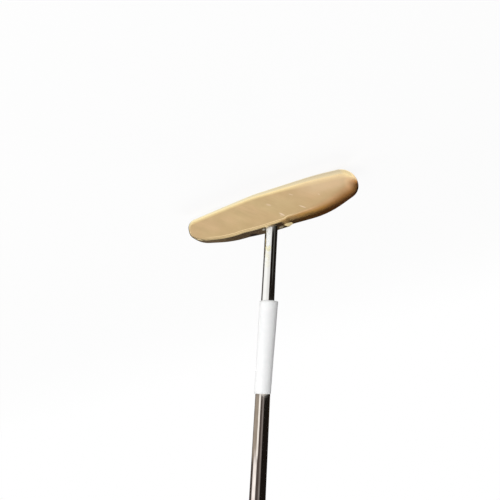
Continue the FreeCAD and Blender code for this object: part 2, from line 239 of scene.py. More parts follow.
# %% Soft patches
patches, given, out = start_group(
    "soft_patches",
    [("Place", ARROW, None), ("Size", NUMBER, 0.02), ("Detail", NUMBER, 2.0),
     ("Softness", NUMBER, 0.3)],
    [("Mask", NUMBER)],
)
per_metre = calc(patches, "DIVIDE", 1.0, given["Size"])
noise = put(patches, "ShaderNodeTexNoise", {"Vector": given["Place"], "Scale": per_metre,
                                            "Detail": given["Detail"], "Roughness": 0.5})
low = calc(patches, "SUBTRACT", 0.5, given["Softness"])
high = plus(patches, 0.5, given["Softness"])
patches.links.new(fade(patches, noise.outputs["Fac"], low, high), out["Mask"])


def patchy(tree, place, size, detail, softness):
    """A mask of soft patches. Their size is in mm."""
    return use(tree, patches, Place=place, Size=size * MM, Detail=detail, Softness=softness)["Mask"]


print("group:", patches.name)

# %% [markdown]
# Fine lines are noise as well, drawn out in one direction. A Wave texture would give lines too,
# but evenly spaced ones, and a cloth or a belt never leaves those.

# %% Fine lines
lines, given, out = start_group(
    "fine_lines",
    [("Place", ARROW, None), ("Stretch", ARROW, (1.0, 1.0, 1.0)), ("Thickness", NUMBER, 0.0005)],
    [("Height", NUMBER)],
)
stretched = vector_calc(lines, "MULTIPLY", given["Place"], given["Stretch"])
per_metre = calc(lines, "DIVIDE", 1.0, given["Thickness"])
noise = put(lines, "ShaderNodeTexNoise", {"Vector": stretched, "Scale": per_metre, "Detail": 3.0})
lines.links.new(noise.outputs["Fac"], out["Height"])


def lined(tree, place, stretch, thickness):
    """The heights of fine lines. Their thickness is in mm."""
    return use(tree, lines, Place=place, Stretch=stretch, Thickness=thickness * MM)["Height"]


print("group:", lines.name)

# %% [markdown]
# One mark is an oval that fades out at its rim. It is found from how far a point lies along the
# mark and how far beside it, so it can lie in any direction on any surface, and needs no unwrapped
# picture to be painted on.

# %% One mark at one place
mark, given, out = start_group(
    "one_mark",
    [("Place", ARROW, None), ("Centre", ARROW, (0.0, 0.0, 0.0)), ("Along", ARROW, (1.0, 0.0, 0.0)),
     ("Half length", NUMBER, 0.002), ("Half width", NUMBER, 0.0005)],
    [("Mask", NUMBER)],
)
away = vector_calc(mark, "SUBTRACT", given["Place"], given["Centre"])
along = vector_calc(mark, "DOT_PRODUCT", away, given["Along"], result="Value")
length = vector_calc(mark, "LENGTH", away, result="Value")
square = calc(mark, "SUBTRACT", times(mark, length, length), times(mark, along, along))
across = calc(mark, "SQRT", largest(mark, square, 0.0))
a = calc(mark, "DIVIDE", along, given["Half length"])
b = calc(mark, "DIVIDE", across, given["Half width"])
from_centre = calc(mark, "SQRT", plus(mark, times(mark, a, a), times(mark, b, b)))
mark.links.new(fade(mark, from_centre, 1.0, 0.35), out["Mask"])


def marked(tree, place, centre, along, half_length, half_width):
    """The mask of one mark. Its centre and its measures are in mm."""
    return use(tree, mark, Place=place, Centre=Vector(centre) * MM, Along=along,
               Half_length=half_length * MM, Half_width=half_width * MM)["Mask"]


print("group:", mark.name)

# %% [markdown]
# The shaft leans, so the object's own X, Y and Z are of little use on it. This group gives the
# height up the shaft, the angle round it, and the two together as if its surface were rolled out
# flat. UNROLLED_RADIUS is how thick a tube the flat sheet is taken from.

# %% Along and round the shaft
UNROLLED_RADIUS = 5.0
along_shaft, given, out = start_group(
    "along_the_shaft",
    [("Place", ARROW, None)],
    [("Height", NUMBER), ("Angle", NUMBER), ("Unrolled", ARROW)],
)
from_foot = vector_calc(along_shaft, "SUBTRACT", given["Place"], SHAFT_FOOT)
height, to_side, to_front = [
    vector_calc(along_shaft, "DOT_PRODUCT", from_foot, direction, result="Value")
    for direction in (SHAFT_UP, TO_PLAYER_SIDE, TO_FRONT)
]
angle = calc(along_shaft, "ARCTAN2", to_side, to_front)
degrees = times(along_shaft, angle, 180.0 / math.pi)
round_it = times(along_shaft, angle, UNROLLED_RADIUS * MM)
unrolled = put(along_shaft, "ShaderNodeCombineXYZ", {"X": round_it, "Y": height, "Z": 0.0})
along_shaft.links.new(height, out["Height"])
along_shaft.links.new(degrees, out["Angle"])
along_shaft.links.new(unrolled.outputs["Vector"], out["Unrolled"])
print("group:", along_shaft.name)

# %% [markdown]
# ## Starting a material
# Each material begins with a Principled BSDF and the object's own coordinates. The CAD parts have
# their places in their meshes, so those coordinates are metres on the real putter.

# %% A new material
def new_material(name, **plain):
    """A material, its tree, shader and coordinates. Plain numbers go straight on the shader."""
    material = bpy.data.materials.new(name)
    material.use_nodes = True
    tree = material.node_tree
    shader = tree.nodes["Principled BSDF"]
    for title, value in plain.items():
        shader.inputs[title.replace("_", " ")].default_value = value
    return material, tree, shader, put(tree, "ShaderNodeTexCoord").outputs["Object"]


def wire(tree, source, shader, title):
    """Joins one value to the shader's named socket."""
    tree.links.new(source, shader.inputs[title])


print("materials can be started")

# %% [markdown]
# ## Brass
# The head is one brass casting. Its striking face has a satin finish from fine abrasive, with
# large soft patches where the colour drifts between a greenish and a pinkish tan, and a few pale
# scuffs. The rolled edges and the crowned back are brighter, because they were buffed on a wheel.
# All this could be painted on an unwrapped picture of the head. Here the surface's own direction
# picks the finish instead: the face is the part that looks straight to the front, so the satin
# ends by itself where the metal begins to roll over, and it does so later on the toe third, whose
# roll is wide.

# %% Where the face is satin
def mix(tree, factor, first, second):
    """A Mix node for numbers. Sockets 0, 2 and 3 are its factor and its two numbers."""
    sockets = {0: factor, 2: first, 3: second}
    return put(tree, "ShaderNodeMix", sockets, data_type="FLOAT").outputs[0]


brass, tree, shader, place = new_material("worked_brass", Metallic=1.0)
facing = split(tree, put(tree, "ShaderNodeNewGeometry").outputs["Normal"])
where = split(tree, place)
toe_third = fade(tree, where["X"], -18 * MM, -34 * MM)
wide_roll = fade(tree, facing["Y"], -0.15, -0.75)
narrow_roll = fade(tree, facing["Y"], -0.80, -0.99)
to_front = mix(tree, toe_third, narrow_roll, wide_roll)
not_below = fade(tree, facing["Z"], -0.22, -0.03)
satin = times(tree, to_front, not_below)
print("material:", brass.name)

# %% [markdown]
# The crown beside the raised pad, on the side of the toe, is hard to reach with a wheel. It was
# brushed by hand, so it is satin too, and duller close to the shaft. It is found by its place
# rather than by its direction, since the buffed metal behind it looks the same way.

# %% Brushed crown
front_half = fade(tree, where["Y"], 2.0 * MM, -6.5 * MM)
past_pad = fade(tree, where["X"], -2.5 * MM, -5.5 * MM)
beside_pad = marked(tree, place, (-6.0, -1.5, 27.0), (0.25, 0.97, 0.0), 8.0, 2.8)
brushed_crown = largest(tree, times(tree, front_half, past_pad), beside_pad)
brushed_crown = times(tree, brushed_crown, fade(tree, facing["Z"], 0.15, 0.6))
dulled = times(tree, brushed_crown, fade(tree, where["X"], -26 * MM, -13 * MM))
satin = largest(tree, satin, brushed_crown)
print("satin mask ready")

# %% [markdown]
# The abrasive belt ran across the face at a slant, and the colour is drawn out that way. So the
# coordinates are turned to the belt's direction before the noise is laid on them, and shrunk along
# it where the patches should be long.

# %% Patches and belt lines
BELT_DIRECTION = math.radians(140)
LONG_PATCHES, LONG_LINES = (0.45, 1.0, 1.0), (0.05, 1.0, 1.0)
along_belt = put(tree, "ShaderNodeVectorRotate", {"Vector": place, "Angle": BELT_DIRECTION},
                 rotation_type="Y_AXIS").outputs["Vector"]
streaky = vector_calc(tree, "MULTIPLY", along_belt, LONG_PATCHES)
wide_patches = patchy(tree, streaky, 12, 2.0, 0.22)
clouds = patchy(tree, streaky, 7, 3.0, 0.3)
small_patches = patchy(tree, place, 6, 3.0, 0.3)
belt = lined(tree, along_belt, LONG_LINES, 0.7)
print("belt direction in degrees:", round(math.degrees(BELT_DIRECTION)))

# %% [markdown]
# The satin tan itself is two close colours in wide patches, with brown clouds and belt lines over
# them. It is paler along the toe half, pink at the toe's end, and darker near the crown as painted
# shade.

# %% Satin tan
towards_toe = fade(tree, where["X"], 50 * MM, -55 * MM)
greenish = blend(tree, towards_toe, (0.738, 0.588, 0.330), (0.736, 0.578, 0.348))
pinkish = blend(tree, towards_toe, (0.800, 0.580, 0.360), (0.822, 0.586, 0.365))
tan = blend(tree, wide_patches, greenish, pinkish)
tan = blend(tree, times(tree, clouds, 0.75), tan, (0.605, 0.46, 0.26))
tan = blend(tree, times(tree, belt, 0.50), tan, (0.54, 0.39, 0.215))
TOE_TINTS = [
    # centre in mm, direction, half length, half width, weight, colour
    ((-44.0, -9.0, 9.0), (1.0, 0.0, 0.0), 30.0, 11.0, 0.60, (0.84, 0.65, 0.44)),
    ((-57.0, -8.0, 15.5), (0.2, 0.0, 0.98), 9.0, 5.0, 0.50, (0.98, 0.68, 0.41)),
]
for centre, along, half_long, half_wide, weight, shade in TOE_TINTS:
    spot = marked(tree, place, centre, along, half_long, half_wide)
    tan = blend(tree, times(tree, spot, weight), tan, shade)
# painted shade: the face is darkened towards the crown
painted_shade_near_crown = fade(tree, where["Z"], 13 * MM, 22 * MM)
tan = blend(tree, times(tree, painted_shade_near_crown, 0.5), tan, (0.64, 0.48, 0.265))
print("toe tints:", len(TOE_TINTS))

# %% [markdown]
# Buffed brass is yellower than satin brass. It is made browner on the top of the crown towards the
# toe, and round the toe's very end.

# %% Buffed brass
buffed = blend(tree, small_patches, (0.92, 0.75, 0.45), (0.87, 0.69, 0.39))
toe_crown = times(tree, fade(tree, facing["Z"], 0.70, 0.95),
                  fade(tree, where["X"], -12 * MM, -32 * MM))
toe_end = fade(tree, facing["X"], -0.70, -0.90)
browned = times(tree, largest(tree, toe_crown, toe_end), 0.7)
buffed = blend(tree, browned, buffed, (0.74, 0.50, 0.25))
colour = blend(tree, satin, buffed, tan)
print("satin and buffed brass joined")

# %% [markdown]
# The roll above the toe half is given painted light and shade by how far it turns away from the
# front. A painted highlight makes it start a little paler than the face, it goes over into a deep
# orange further towards the toe, and painted shade makes it browner beside the pad. Each row below
# is one such tint: it multiplies what is there, so the patches stay to be seen, and it keeps to the
# front side of the crown.

# %% Painted light and shade on the roll
ROLL_LIGHT_AND_SHADE = [
    # how far it faces front where the tint starts and is full, where along the head in mm it
    # starts, is full, starts to fade and is gone, tint
    (-1.02, -0.86, -6, -24, -90, -99, (1.11, 0.99, 0.94)),
    (-0.92, -0.42, -22, -48, -90, -99, (1.06, 0.82, 0.52)),
    (-0.98, -0.75, 0, -5, -14, -26, (0.76, 0.64, 0.44)),
    (-0.90, -0.55, -12, -20, -32, -44, (1.10, 1.02, 0.66)),
]
upper_front = times(tree, fade(tree, facing["Z"], -0.05, 0.15), fade(tree, facing["Y"], 0.45, 0.05))
for light_side, dark_side, start, full, fading, gone, tint in ROLL_LIGHT_AND_SHADE:
    painted_roll_light = times(
        tree, fade(tree, facing["Y"], light_side, dark_side), upper_front,
        fade(tree, where["X"], start * MM, full * MM),
        fade(tree, where["X"], gone * MM, fading * MM),
    )
    # painted light and shade: the tint follows how far the roll faces the front
    colour = blend(tree, painted_roll_light, colour, vector_calc(tree, "MULTIPLY", colour, tint))
print("roll tints:", len(ROLL_LIGHT_AND_SHADE))

# %% [markdown]
# Two places get painted highlights. The edge where the face turns into the crown is painted bright
# from the heel to the shaft. The roll of the sole is painted pale near the heel and duller towards
# the toe, but not round the end of the toe. Both could be vertex paint, but the mesh is the CAD
# model's own and stays untouched.

# %% Painted highlights on the edge and the sole
# painted highlight along the edge between the face and the crown
painted_edge_highlight = times(
    tree, fade(tree, facing["Z"], 0.00, 0.05), fade(tree, facing["Z"], 0.30, 0.10),
    fade(tree, facing["Y"], -0.6, -0.9),
    fade(tree, where["X"], -16 * MM, -7 * MM), fade(tree, where["X"], 56 * MM, 44 * MM),
)
colour = blend(tree, painted_edge_highlight, colour, (1.0, 0.82, 0.50))
# painted highlight on the roll of the sole, pale near the heel and duller towards the toe
sole_highlight_mask = times(tree, fade(tree, facing["Z"], -0.10, -0.45),
                   fade(tree, facing["X"], -0.36, -0.16))
sole_highlight = blend(tree, towards_toe, (0.86, 0.77, 0.52), (0.72, 0.61, 0.42))
colour = blend(tree, sole_highlight_mask, colour, sole_highlight)
print("worn places: 2")

# %% [markdown]
# The polishing wheel softened the edge between the face and the sole, and a bright line of painted
# highlight runs along the face there. It is thin at the heel and grows wider towards the toe. The
# edge itself is lowest near the shaft and rises both ways in a shallow curve, so the line is told
# by how far a point lies above that curve.

# %% Painted highlight along the sole
EDGE_LOWEST = Vector((11.0, 0.0, 4.25)) * MM
EDGE_SLOPE, HEEL_CURVE, TOE_CURVE = 0.043, 0.4, 0.3
LINE_WIDTH, WIDER_AT_TOE = 1.5 * MM, 0.9 * MM
sideways = calc(tree, "ABSOLUTE", calc(tree, "SUBTRACT", where["X"], EDGE_LOWEST.x))
toe_side = fade(tree, where["X"], 16 * MM, 6 * MM)
curve = plus(tree, HEEL_CURVE, times(tree, toe_side, TOE_CURVE))
slope = plus(tree, EDGE_SLOPE, times(tree, curve, sideways))
edge_height = plus(tree, EDGE_LOWEST.z, times(tree, slope, sideways))
above_edge = calc(tree, "SUBTRACT", where["Z"], edge_height)
toe_half = fade(tree, where["X"], -8 * MM, -34 * MM)
line_width = plus(tree, LINE_WIDTH, times(tree, toe_half, WIDER_AT_TOE))
# painted highlight: a bright line along the face just above the sole's edge
painted_line_highlight = times(tree, fade(tree, above_edge, line_width, 0.0),
                    fade(tree, facing["Y"], -0.93, -0.99))
line_highlight_colour = blend(tree, toe_half, (0.95, 0.78, 0.43), (0.90, 0.72, 0.45))
colour = blend(tree, times(tree, painted_line_highlight, 0.55), colour, line_highlight_colour)
print("line width in mm:", round(LINE_WIDTH / MM, 1), "to",
      round((LINE_WIDTH + WIDER_AT_TOE) / MM, 1))

# %% [markdown]
# The scuffs are short, nearly parallel marks that a ball or a bag left on the face. Each one is
# the "one mark" group at its own place on the front plane, given by its two ends in millimetres.
# The belt's lines break them up, as they do on the real face.

# %% Scuffs on the face
FRONT_PLANE = -9.0
SCUFFS = [
    # one end, the other end, half width, how plain it is
    ((-3.2, 20.0), (-7.6, 24.4), 0.75, 0.75),
    ((-3.4, 22.2), (-5.6, 24.0), 0.45, 0.45),
    ((-18.0, 19.4), (-23.5, 23.7), 0.50, 0.80),
    ((-13.4, 9.0), (-17.3, 11.7), 0.60, 0.45),
    ((-33.4, 15.7), (-35.0, 18.0), 0.50, 0.40),
    ((4.0, 10.8), (-0.4, 14.0), 1.00, 0.35),
]
spots = []
for (x0, z0), (x1, z1), half_wide, weight in SCUFFS:
    first, last = Vector((x0, FRONT_PLANE, z0)), Vector((x1, FRONT_PLANE, z1))
    spot = marked(tree, place, (first + last) / 2, (last - first).normalized(),
                  (last - first).length / 2, half_wide)
    spots.append(times(tree, spot, weight))
scuffed = times(tree, largest(tree, *spots), plus(tree, 0.45, belt))
colour = blend(tree, scuffed, colour, (0.93, 0.76, 0.60))
print("scuffs:", len(SCUFFS))

# %% [markdown]
# Where the raised pad round the shaft steps down towards the toe, the slope gets a painted
# highlight. It is a pale patch that is matt and not metal, so it takes less of the surroundings and
# more of the lamps. A lump of its own would be thicker than the real dab, which is only a film, so
# it is a mark with crumbly noise at its rim.

# %% Painted highlight on the step
# painted highlight: a pale, matt patch on the pad's step towards the toe
step_highlight = marked(tree, place, (-6.6, 4.4, 26.7), (-0.30, 0.95, 0.0), 7.6, 3.6)
crumbs = patchy(tree, place, 1.2, 3.0, 0.2)
step_highlight = fade(tree, plus(tree, step_highlight, times(tree, crumbs, 0.25)), 0.35, 0.75)
colour = blend(tree, step_highlight, colour, (1.0, 0.81, 0.44))
unmetal = largest(tree, times(tree, step_highlight, 0.85), times(tree, dulled, 0.5))
print("dab of polish placed")

# %% [markdown]
# The pad's top gets painted shade and painted highlights: a dark notch of painted shade on the heel
# side, brown rims of painted shade round the shaft, and two pale specks of painted highlight that
# hide the metal under them.

# %% Painted shade and highlights round the shaft
# painted shade and painted highlights on the pad round the shaft
PAD_LIGHT_AND_SHADE = [
    # centre in mm, direction, half length, half width, weight, how much it hides the metal, colour
    ((19.6, 5.0, 26.2), (-0.25, 0.97), 7.5, 4.2, 1.0, 0.0, (0.07, 0.045, 0.02)),
    ((-1.1, 4.4, 27.0), (0.25, 0.97), 3.8, 2.6, 1.0, 0.7, (0.44, 0.40, 0.27)),
    ((4.0, -5.7, 27.0), (1.0, 0.0), 6.0, 2.8, 0.9, 0.0, (0.24, 0.15, 0.07)),
    ((-1.4, -2.2, 27.0), (0.7, -0.7), 4.6, 2.6, 0.8, 0.0, (0.34, 0.20, 0.08)),
    ((-3.4, 6.4, 27.0), (0.6, 0.8), 2.8, 2.0, 0.9, 0.0, (0.26, 0.17, 0.08)),
    ((10.6, -2.8, 26.9), (0.0, 1.0), 3.6, 2.0, 1.0, 0.7, (0.76, 0.74, 0.64)),
]
for centre, along, half_long, half_wide, weight, hiding, shade in PAD_LIGHT_AND_SHADE:
    spot = marked(tree, place, centre, (*along, 0.0), half_long, half_wide)
    colour = blend(tree, times(tree, spot, weight), colour, shade)
    unmetal = largest(tree, unmetal, times(tree, spot, hiding))
wire(tree, colour, shader, "Base Color")
wire(tree, rest(tree, unmetal), shader, "Metallic")
print("stains:", len(PAD_LIGHT_AND_SHADE))

# %% [markdown]
# What makes satin look satin is its roughness: it spreads each reflection wide, where buffed metal
# keeps it nearly sharp. The belt's lines and the wide patches are also pressed into the surface,
# by a few thousandths and a few hundredths of a millimetre.

# %% Roughness and relief of the brass
def bump(tree, height, depth, strength, below=None):
    """A Bump node whose height of 1 stands for a real depth in mm."""
    sockets = {"Height": height, "Distance": depth * MM, "Strength": strength}
    if below is not None:
        sockets["Normal"] = below
    return put(tree, "ShaderNodeBump", sockets).outputs["Normal"]


satin_rough = plus(tree, 0.52, times(tree, small_patches, 0.06))
buffed_rough = plus(tree, 0.20, times(tree, small_patches, 0.05))
rough = plus(tree, mix(tree, satin, buffed_rough, satin_rough), times(tree, step_highlight, 0.3))
wire(tree, rough, shader, "Roughness")
relief = bump(tree, belt, 0.006, 0.6)
wire(tree, bump(tree, wide_patches, 0.06, 0.5, relief), shader, "Normal")
nodes["head"].data.materials[0] = brass
print("head finished")

# %% [markdown]
# ## Chrome on the shaft
# A steel tube with bright plating is close to a mirror. What makes it look real is how little is
# wrong with it: hair-thin polishing lines along the tube, a film of haze in patches, and fine rubs
# above the label, where the putter is carried. It could be one smooth metal, but then its stripes
# would end in edges that are too clean.

# %% Chrome for the shaft
LABEL_FOOT, LABEL_TOP = 52.5 * MM, 116.0 * MM
chrome, tree, shader, place = new_material("bright_plating", Metallic=1.0)
shaft_place = use(tree, along_shaft, Place=place)
unrolled = shaft_place["Unrolled"]
haze = patchy(tree, unrolled, 12, 3.0, 0.25)
hairs = lined(tree, unrolled, (1.0, 0.03, 1.0), 0.3)
rubs = fade(tree, lined(tree, unrolled, (1.0, 0.10, 1.0), 0.7), 0.35, 0.75)
above_label = fade(tree, shaft_place["Height"], LABEL_TOP - 4 * MM, LABEL_TOP + 14 * MM)
colour = blend(tree, haze, (0.80, 0.79, 0.78), (0.75, 0.74, 0.73))
colour = blend(tree, times(tree, rubs, above_label, 0.38), colour, (0.42, 0.36, 0.33))
print("material:", chrome.name)

# %% [markdown]
# The shaft was glued into the head, and a yellowish smear of old resin is left just above it. It
# is a few marks on the unrolled surface, made crumbly by noise and made a little thicker than the
# plating by the relief further down.

# %% Old resin above the head
def up_the_shaft(height, angle, half_up, half_round):
    """A mark that runs up the shaft. Its angle is in degrees and its measures are in mm."""
    centre = (UNROLLED_RADIUS * math.radians(angle), height, 0.0)
    return marked(tree, unrolled, centre, (0.0, 1.0, 0.0), half_up, half_round)


SMEARS = [
    # height, angle, half length, half width, weight
    (15.0, 12.0, 2.3, 3.6, 1.0), (16.8, 6.0, 1.5, 2.4, 0.7), (20.5, 20.0, 3.2, 2.4, 0.35),
    (22.0, 0.0, 3.6, 1.6, 0.35), (26.5, 10.0, 4.0, 3.0, 0.22),
]
smears = largest(tree, *[times(tree, up_the_shaft(*oval), weight) for *oval, weight in SMEARS])
crumbs = patchy(tree, unrolled, 0.9, 3.0, 0.12)
smears = times(tree, smears, plus(tree, 0.55, times(tree, crumbs, 0.6)))
smears = put(tree, "ShaderNodeClamp", {"Value": smears}).outputs[0]
colour = blend(tree, smears, colour, (0.84, 0.78, 0.46))
print("smears:", len(SMEARS))

# %% [markdown]
# At the very foot of the shaft a whitish matt patch is a painted highlight. It dulls the mirror
# there, so that the head doesn't show in it. Beside it, towards the heel, runs a dark line of
# painted shade, and further up on the same side are a few dark specks.

# %% Painted highlight, painted shade and specks
# painted highlight: a whitish matt patch at the very foot of the shaft
foot_highlight = up_the_shaft(2.0, 13, 16.0, 2.5)
foot_highlight = times(tree, fade(tree, foot_highlight, 0.0, 0.35), fade(tree, crumbs, -0.5, 0.3))
colour = blend(tree, foot_highlight, colour, (0.86, 0.87, 0.86))
SPECKS = [
    # height, angle, half length, half width
    (21.5, 46.0, 1.3, 0.55), (24.5, 48.0, 0.9, 0.65),
    (27.5, 45.0, 1.1, 0.50), (31.0, 48.0, 0.8, 0.50),
]
specks = largest(tree, *[up_the_shaft(*oval) for oval in SPECKS])
# painted shade: a dark line on the heel side of the shaft, near the head
painted_shade_line = fade(tree, up_the_shaft(3.5, 59, 15.0, 1.9), 0.0, 0.5)
colour = blend(tree, largest(tree, specks, painted_shade_line), colour, (0.10, 0.09, 0.07))
wire(tree, colour, shader, "Base Color")
print("specks:", len(SPECKS))

# %% [markdown]
# The plating is nearly as smooth as glass. Resin and the painted highlight at the foot are rough
# and aren't metal, so they get a high roughness and a low metallic value where their masks are.

# %% Roughness and relief of the chrome
rough = plus(tree, 0.045, times(tree, haze, 0.03))
rough = plus(tree, rough, times(tree, largest(tree, smears, foot_highlight), 0.35))
wire(tree, rough, shader, "Roughness")
matt = largest(tree, times(tree, smears, 0.6), times(tree, foot_highlight, 0.92))
wire(tree, rest(tree, matt), shader, "Metallic")
relief = bump(tree, hairs, 0.0006, 0.4)
wire(tree, bump(tree, smears, 0.04, 0.5, relief), shader, "Normal")
nodes["shaft"].data.materials[0] = chrome
print("shaft finished")

# %% [markdown]
# ## Objects from points
# The label, and later the tent, the near card and the floor, are each a sheet of points with faces
# between them. Two helpers build all of them: one makes the faces of a grid that runs row by row,
# and one turns points and faces into an object in the scene.

# %% Helpers for sheets of points
def grid_faces(rows, columns, closed=False):
    """The faces of a grid of points. A closed grid joins its last column to its first."""
    faces = []
    for j in range(rows - 1):
        for i in range(columns if closed else columns - 1):
            here, beside = j * columns + i, j * columns + (i + 1) % columns
            faces.append((here, beside, beside + columns, here + columns))
    return faces


def build(name, points, faces):
    """An object made of points and faces, put in the scene."""
    mesh = bpy.data.meshes.new(name)
    mesh.from_pydata(points, [], faces)
    thing = bpy.data.objects.new(name, mesh)
    scene.collection.objects.link(thing)
    return thing


print("faces in a grid of 3 by 3 points:", len(grid_faces(3, 3)))

# %% [markdown]
# ## The paper label
# A shop wraps a strip of paper once round the shaft and sticks it to itself. The CAD model has it
# as a plain sleeve. A real one is a strip with two ends: one end lies on the other, the free one
# stands off a little, and the whole sleeve is looser towards the head than towards the grip. It
# could be a bevelled curve, but a small grid of points laid round the shaft shows the overlap best
# and gives the paper its own thickness.

# %% The label's measures
STEPS_ROUND, STEPS_UP = 96, 40
PAPER = 0.11 * MM
FREE_END, WHOLE_TURN = -100.0, 372.0  # in degrees, so the strip laps over its start by 12
TIGHT_RADIUS, SLACK, TUCKED_IN = 5.64 * MM, 0.72 * MM, 0.15 * MM
LIFTED_PART, LIFT, LOOSE_LIFT = 0.06, 0.06 * MM, 0.12 * MM
RIPPLE, SKEW = 0.02 * MM, 0.15 * MM
LEANS_FROM, LEANS_BY = -0.78 * MM, 1.11 * MM
print("label in mm:", round((LABEL_TOP - LABEL_FOOT) / MM, 1), "long,", PAPER / MM, "thick")

# %% [markdown]
# Each point is found from how far round the strip and how far up it lies. The strip tucks itself
# in under its own start, its free end is lifted, and the whole sleeve leans on the shaft, a little
# more at its foot.

# %% Build the label
def label_point(around, up):
    """A point of the paper's middle: around and up both go from 0 to 1."""
    angle = FREE_END - WHOLE_TURN * around
    height = LABEL_FOOT + (LABEL_TOP - LABEL_FOOT) * up
    loose = 1.0 - up
    radius = TIGHT_RADIUS + SLACK * loose - TUCKED_IN * around
    lifted = max(0.0, 1.0 - around / LIFTED_PART) ** 2
    radius += lifted * (LIFT + LOOSE_LIFT * loose)
    radius += RIPPLE * math.sin(9.0 * around + 7.0 * up)
    skew = SKEW * math.sin(math.radians(angle + 20))
    off_centre = TO_PLAYER_SIDE * (LEANS_FROM + LEANS_BY * up)
    return on_shaft(height + skew, angle, radius) + off_centre


points = [label_point(i / STEPS_ROUND, j / STEPS_UP)
          for j in range(STEPS_UP + 1) for i in range(STEPS_ROUND + 1)]
label = build("wrapped_label", points, grid_faces(STEPS_UP + 1, STEPS_ROUND + 1))
label.data.shade_smooth()
sheet_depth = label.modifiers.new("paper_depth", "SOLIDIFY")
sheet_depth.thickness = PAPER
sheet_depth.offset = 0.0
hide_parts("price_label")
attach(label, "root")
print("label points:", len(points))

# %% [markdown]
# Paper is matt, with a faint cloudy texture from its fibres. It could let some light through, but
# over a metal tube that wouldn't show. Handling leaves it a touch grey along its edges.

# %% Paper for the label
paper, tree, shader, place = new_material("label_paper", Metallic=0.0, Specular_IOR_Level=0.3)
shaft_place = use(tree, along_shaft, Place=place)
unrolled, height = shaft_place["Unrolled"], shaft_place["Height"]
clouds = patchy(tree, unrolled, 3, 4.0, 0.3)
fibres = lined(tree, unrolled, (1.0, 0.3, 1.0), 0.5)
EDGE = 1.2 * MM
handled = largest(tree, fade(tree, height, LABEL_FOOT + EDGE, LABEL_FOOT),
                  fade(tree, height, LABEL_TOP - EDGE, LABEL_TOP))
colour = blend(tree, clouds, (0.90, 0.90, 0.90), (0.86, 0.87, 0.87))
colour = blend(tree, times(tree, handled, 0.35), colour, (0.74, 0.74, 0.72))
wire(tree, colour, shader, "Base Color")
wire(tree, plus(tree, 0.55, times(tree, clouds, 0.1)), shader, "Roughness")
wire(tree, bump(tree, fibres, 0.01, 0.5), shader, "Normal")
label.data.materials.append(paper)
print("label finished")

# %% [markdown]
# ## Rubber on the grip
# The grip's rubber is moulded with a small diamond pattern that stops short of its ends, is dull,
# and shows dust in the hollows. The pattern could be cut into the mesh, but it is far finer than
# the mesh. So it is relief only: two sets of slanting waves, and a diamond where both stand high.

# %% Rubber for the grip
DIAMOND_UP, DIAMOND_ROUND = 3.2 * MM, 15.0  # the second one in degrees round the shaft
GRIP_MOUTH, GRIP_CAP, BORDER = 609 * MM, 848 * MM, 4 * MM
rubber, tree, shader, place = new_material("grip_rubber", Metallic=0.0, Specular_IOR_Level=0.35)
shaft_place = use(tree, along_shaft, Place=place)
height, angle = shaft_place["Height"], shaft_place["Angle"]
waves_up = times(tree, height, math.pi / DIAMOND_UP)
waves_round = times(tree, angle, math.pi / DIAMOND_ROUND)
one_way, other_way = [
    calc(tree, "ABSOLUTE", calc(tree, "SINE", calc(tree, operation, waves_up, waves_round)))
    for operation in ("ADD", "SUBTRACT")
]
diamonds = fade(tree, calc(tree, "MINIMUM", one_way, other_way), 0.0, 0.35)
patterned = times(tree, fade(tree, height, GRIP_MOUTH, GRIP_MOUTH + BORDER),
                  fade(tree, height, GRIP_CAP, GRIP_CAP - BORDER))
hollow = times(tree, patterned, rest(tree, diamonds))
print("diamond in mm and degrees:", round(DIAMOND_UP / MM, 1), DIAMOND_ROUND)

# %% [markdown]
# Black rubber is never quite black. Dust lifts it to a dark grey in patches and settles in the
# hollows of the pattern, and a fine grain over all of it takes away the last shine.

# %% Colour and relief of the rubber
def grey(value):
    """An even grey as a colour."""
    return (value, value, value, 1.0)


dusty = patchy(tree, place, 15, 4.0, 0.25)
grain = patchy(tree, place, 0.6, 2.0, 0.3)
colour = blend(tree, dusty, grey(0.022), grey(0.032))
colour = blend(tree, times(tree, hollow, 0.5), colour, (0.075, 0.072, 0.068))
wire(tree, colour, shader, "Base Color")
wire(tree, plus(tree, 0.55, times(tree, dusty, 0.2)), shader, "Roughness")
relief = bump(tree, grain, 0.03, 0.5)
wire(tree, bump(tree, rest(tree, hollow), 0.5, 0.8, relief), shader, "Normal")
nodes["grip"].data.materials[0] = rubber
print("grip finished")

# %% [markdown]
# ## Plastic, tape, resin and plug
# The cap is a smoother black plastic than the rubber. Tape, resin and plug are hidden in the
# putter, and still get a finish of their own, since the pieces may be looked at one by one. All
# four are plain and matt, so one function makes them from two close colours in small patches.

# %% Plastic, tape, resin and plug
def matt_material(name, dark, light, rough, size, depth):
    """A plain matt material whose colour, gloss and surface vary in patches. Sizes are in mm."""
    material, tree, shader, place = new_material(name, Metallic=0.0)
    cloudy = patchy(tree, place, size, 4.0, 0.3)
    wire(tree, blend(tree, cloudy, dark, light), shader, "Base Color")
    wire(tree, plus(tree, rough, times(tree, cloudy, 0.12)), shader, "Roughness")
    wire(tree, bump(tree, cloudy, depth, 0.5), shader, "Normal")
    return material


FINISHES = [
    # piece, material, darker colour, lighter colour, roughness, patch size, depth of relief
    ("grip_cap", "cap_plastic", grey(0.018), grey(0.03), 0.38, 1.2, 0.02),
    ("grip_tape", "grip_tape", (0.55, 0.48, 0.36), (0.65, 0.58, 0.45), 0.7, 2.0, 0.05),
    ("shaft_resin", "set_resin", (0.45, 0.3, 0.1), (0.6, 0.43, 0.18), 0.25, 1.0, 0.03),
    ("tip_plug", "plug_plastic", grey(0.35), grey(0.45), 0.5, 1.0, 0.02),
]
for piece, *finish in FINISHES:
    nodes[piece].data.materials[0] = matt_material(*finish)
print("finished:", [piece for piece, *finish in FINISHES])

